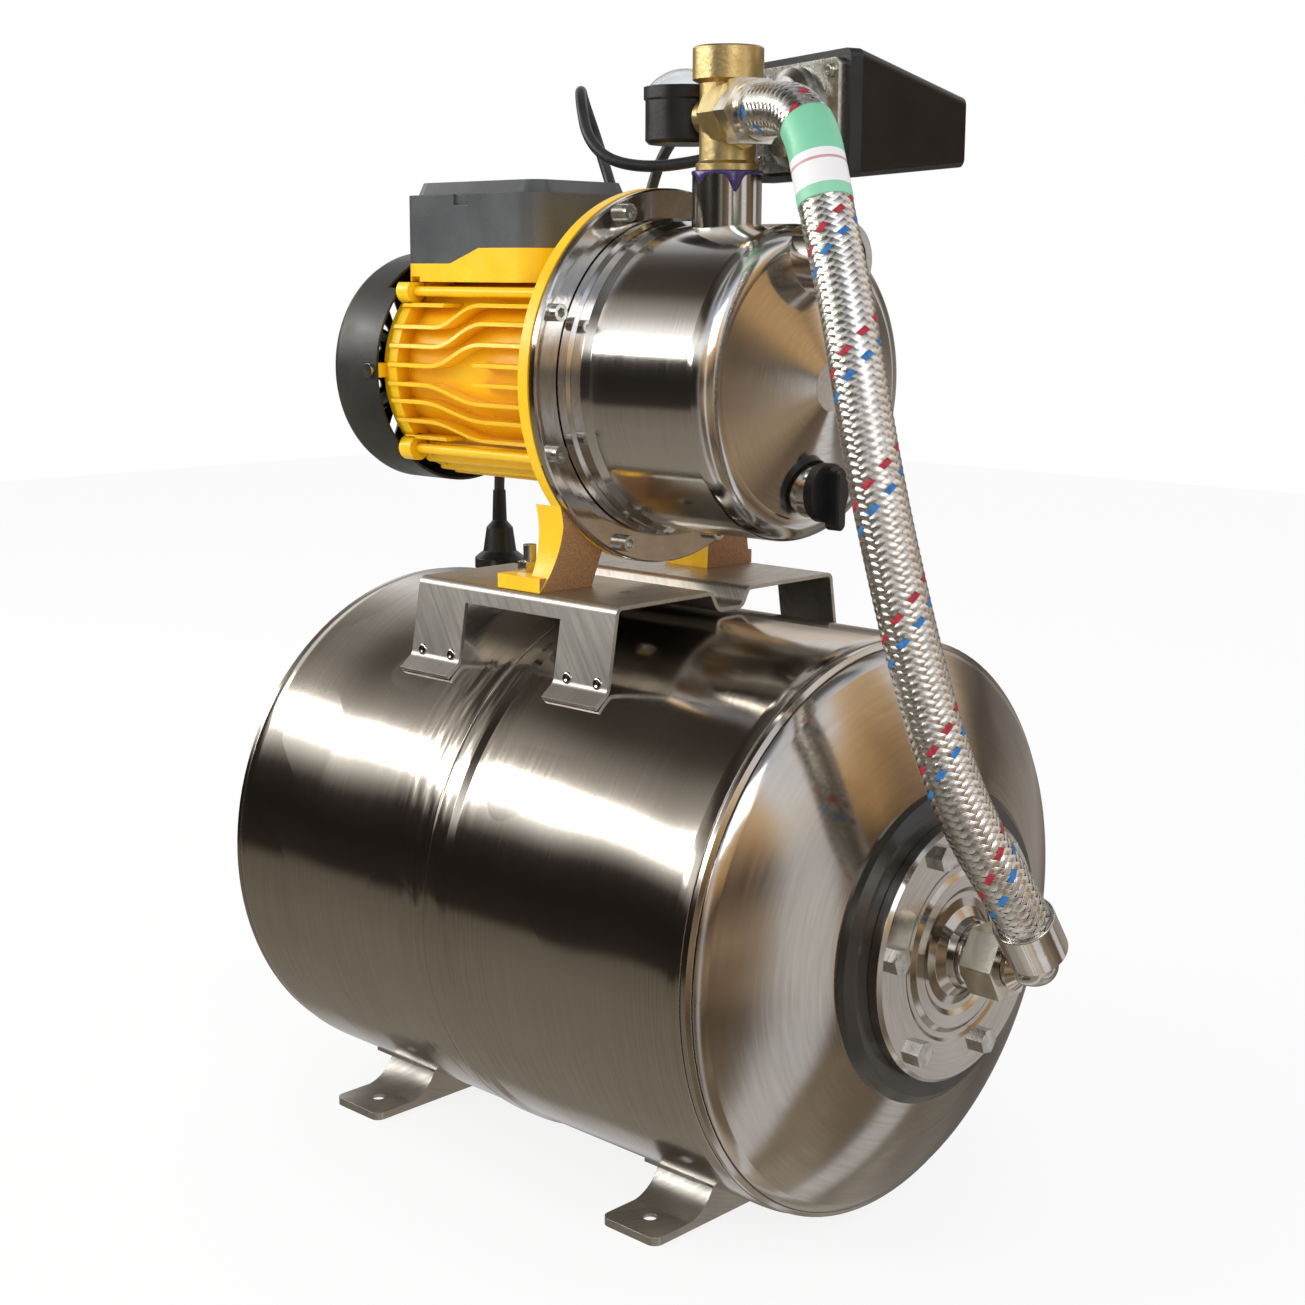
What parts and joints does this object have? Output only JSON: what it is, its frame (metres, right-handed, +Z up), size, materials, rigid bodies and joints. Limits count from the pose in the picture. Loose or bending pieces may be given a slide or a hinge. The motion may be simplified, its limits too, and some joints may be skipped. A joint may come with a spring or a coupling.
{
  "type": "booster pump set",
  "caption": "Self-priming jet pump with ribbed electric motor on a horizontal pressure tank, with braided hose, pressure gauge, pressure switch and mains cord.",
  "frame": {"origin": "centre of the four foot bolt holes, at the floor", "axes": "+X along the motor shaft towards the pump's suction port, +Y to the left of the motor seen from its fan, +Z up along the outlet"},
  "size_m": [0.597, 0.3422, 0.6735],
  "materials": {
    "stainless_sheet": "satin deep-drawn stainless steel",
    "polished_stainless": "bright stainless steel",
    "zinc_steel": "zinc plated steel",
    "plated_brass": "thin nickel plate over brass",
    "yellow_paint": "yellow enamel on die-cast aluminium",
    "core_steel": "stacked laminations",
    "copper_wire": "enamelled copper wire",
    "charcoal_plastic": "satin moulded plastic",
    "grey_plastic": "satin moulded plastic",
    "black_plastic": "fine moulded plastic",
    "black_rubber": "moulded rubber",
    "cable_sheath": "smooth flexible sheath",
    "steel_braid": "woven stainless wire over a rubber tube",
    "dial_white": "printed white",
    "clear_glass": "clear domed window"
  },
  "bodies": {
    "base": {"front_tank_shell": "stainless_sheet", "rear_tank_shell": "stainless_sheet", "tank_flange": "stainless_sheet", "flange_bolts": "zinc_steel", "tank_membrane": "black_rubber", "air_valve": "plated_brass", "air_valve_cap": "black_plastic", "front_foot": "stainless_sheet", "rear_foot": "stainless_sheet", "pump_platform": "stainless_sheet", "mount_bolts": "zinc_steel", "motor_bracket": "yellow_paint", "seal_plate": "stainless_sheet", "casing_gasket": "black_rubber", "clamp_ring": "polished_stainless", "clamp_screws": "zinc_steel", "pump_casing": "polished_stainless", "ejector": "black_plastic", "diffuser": "black_plastic", "seal_seat": "black_rubber", "motor_frame": "yellow_paint", "rear_end_shield": "yellow_paint", "tie_rods": "yellow_paint", "stator_core": "core_steel", "stator_windings": "copper_wire", "shaft_bearings": "zinc_steel", "fan_cover": "charcoal_plastic", "fan_cover_screws": "zinc_steel", "terminal_box_cover": "grey_plastic", "terminal_block": "black_plastic", "run_capacitor": "dial_white", "motor_cable_gland": "black_plastic", "seat_ring": "black_plastic", "five_way_fitting": "plated_brass", "gauge_case": "black_plastic", "gauge_dial": "dial_white", "gauge_lens": "clear_glass", "switch_flange": "zinc_steel", "switch_body": "black_plastic", "switch_cover": "black_plastic", "switch_springs": "zinc_steel", "switch_contacts": "plated_brass", "hose_top_nut": "plated_brass", "braided_hose": "steel_braid", "hose_bottom_nut": "plated_brass", "hose_elbow": "polished_stainless", "motor_cable": "cable_sheath", "mains_cord": "cable_sheath", "cord_hank": "cable_sheath", "plug_tail": "cable_sheath", "cord_tie": "black_plastic", "mains_plug": "black_plastic"},
    "rotor": {"motor_shaft": "zinc_steel", "rotor_core": "core_steel", "impeller": "plated_brass", "cooling_fan": "black_plastic", "seal_head": "zinc_steel"},
    "pointer": {"gauge_needle": "black_plastic"},
    "plug": {"drain_plug": "black_plastic"},
    "lever": {"switch_lever": "zinc_steel"}
  },
  "joints": [
    {"name": "rotor_spin", "type": "hinge", "parent": "base", "child": "rotor", "pos_m": [0, 0, 0.484], "axis": [1, 0, 0], "continuous": true},
    {"name": "pointer_turn", "type": "hinge", "parent": "base", "child": "pointer", "pos_m": [0.0354, 0.01813, 0.643], "axis": [0, 0, -1], "range_deg": [0, 270]},
    {"name": "drain_plug_turn", "type": "hinge", "parent": "base", "child": "plug", "pos_m": [0.16, 0, 0.424], "axis": [1, 0, 0], "range_deg": [0, 360]},
    {"name": "lever_rock", "type": "hinge", "parent": "base", "child": "lever", "pos_m": [0.10777, 0.06202, 0.656], "axis": [-0.9397, 0.342, 0], "range_deg": [-4, 4]}
  ]
}
